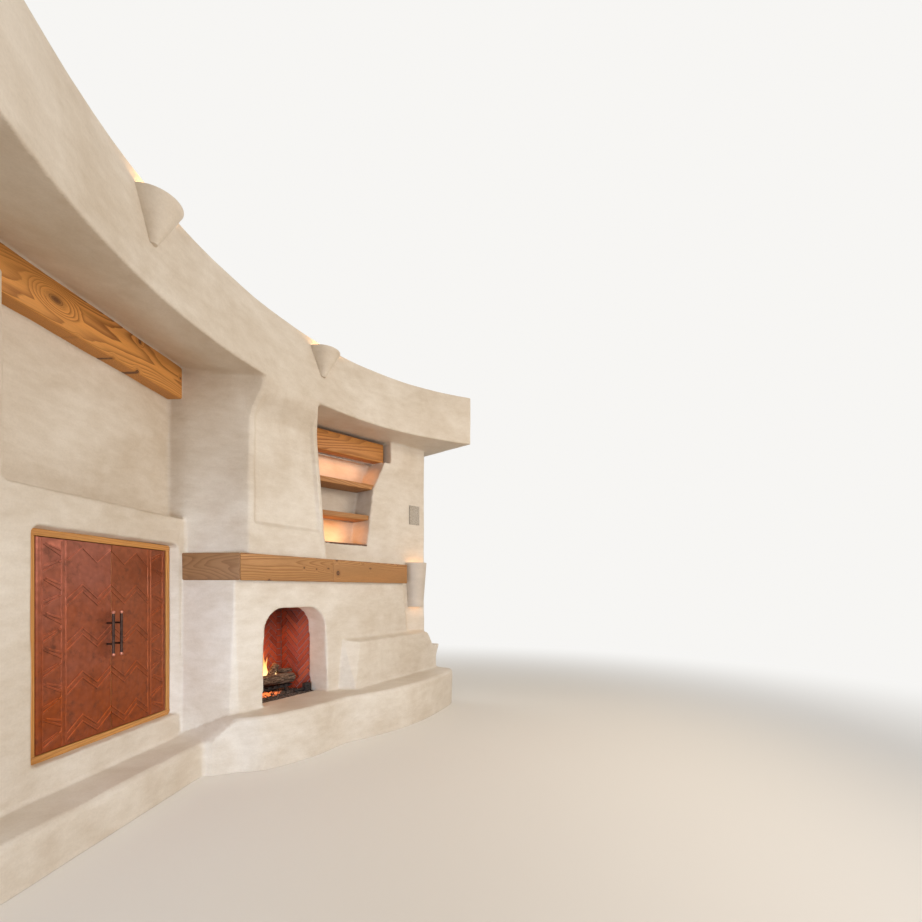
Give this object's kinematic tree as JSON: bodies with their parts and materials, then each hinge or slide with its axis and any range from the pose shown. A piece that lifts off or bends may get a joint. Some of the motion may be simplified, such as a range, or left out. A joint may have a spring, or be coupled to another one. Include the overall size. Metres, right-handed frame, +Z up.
{
  "type": "adobe fireplace wall",
  "caption": "Plastered adobe fireplace wall with hearth bench, timber mantel, tapered chimney breast, built-in cupboard with hinged copper-clad doors, lit shelf niche and curved header.",
  "frame": {"origin": "on the floor below the middle of the fire opening, in the plane of the mantel's front", "axes": "+X along the mantel to the viewer's right, +Y into the wall, +Z up"},
  "size_m": [5.1661, 2.1168, 3.55],
  "materials": {
    "plaster": "matte trowelled plaster",
    "pine": "oiled, knotty",
    "dark_wood": "dark stained",
    "charred_wood": "charred",
    "copper_sheet": "hammered, brown patina",
    "black_iron": "forged, waxed",
    "firebrick": "matte, sooted",
    "fired_clay": "matte",
    "lava_rock": "rough",
    "grey_metal": "matte"
  },
  "bodies": {
    "fireplace_wall": {"hearth_bench": "plaster", "bench_backrest": "plaster", "firebox_plinth": "plaster", "left_fire_pier": "plaster", "right_fire_pier": "plaster", "right_wing": "plaster", "fire_arch": "plaster", "chimney_back": "plaster", "smoke_chamber": "plaster", "flue_liner": "fired_clay", "chimney_breast": "plaster", "firebox_left": "firebrick", "firebox_right": "firebrick", "firebox_back": "firebrick", "ember_bed": "lava_rock", "log_grate": "black_iron", "fire_logs": "charred_wood", "mantel_return": "pine", "mantel_left": "pine", "mantel_right": "pine", "cabinet_base_wall": "plaster", "cabinet_left_wall": "plaster", "cabinet_right_wall": "plaster", "cabinet_head_wall": "plaster", "left_pier": "plaster", "alcove_back_wall": "plaster", "alcove_beam": "pine", "cabinet_frame_stiles": "pine", "cabinet_frame_rails": "pine", "niche_base_wall": "plaster", "niche_left_wall": "plaster", "niche_right_wall": "plaster", "niche_back_wall": "plaster", "niche_head_wall": "plaster", "niche_lintel": "pine", "niche_shelves": "pine", "niche_sill": "dark_wood", "wall_sconce": "plaster", "speaker_grille": "grey_metal", "header": "plaster", "left_light_shell": "plaster", "right_light_shell": "plaster"},
    "left_door": {"left_door_panel": "pine", "left_door_copper": "copper_sheet", "left_door_pull": "black_iron"},
    "right_door": {"right_door_panel": "pine", "right_door_copper": "copper_sheet", "right_door_pull": "black_iron"}
  },
  "joints": [
    {"name": "left_door_hinge", "type": "hinge", "parent": "fireplace_wall", "child": "left_door", "pos_m": [-1.84475, 0.00899, 1.05], "axis": [0, 0, -1], "range_deg": [0, 90]},
    {"name": "right_door_hinge", "type": "hinge", "parent": "fireplace_wall", "child": "right_door", "pos_m": [-0.9256, 0.43955, 1.05], "axis": [0, 0, 1], "range_deg": [0, 90]}
  ]
}
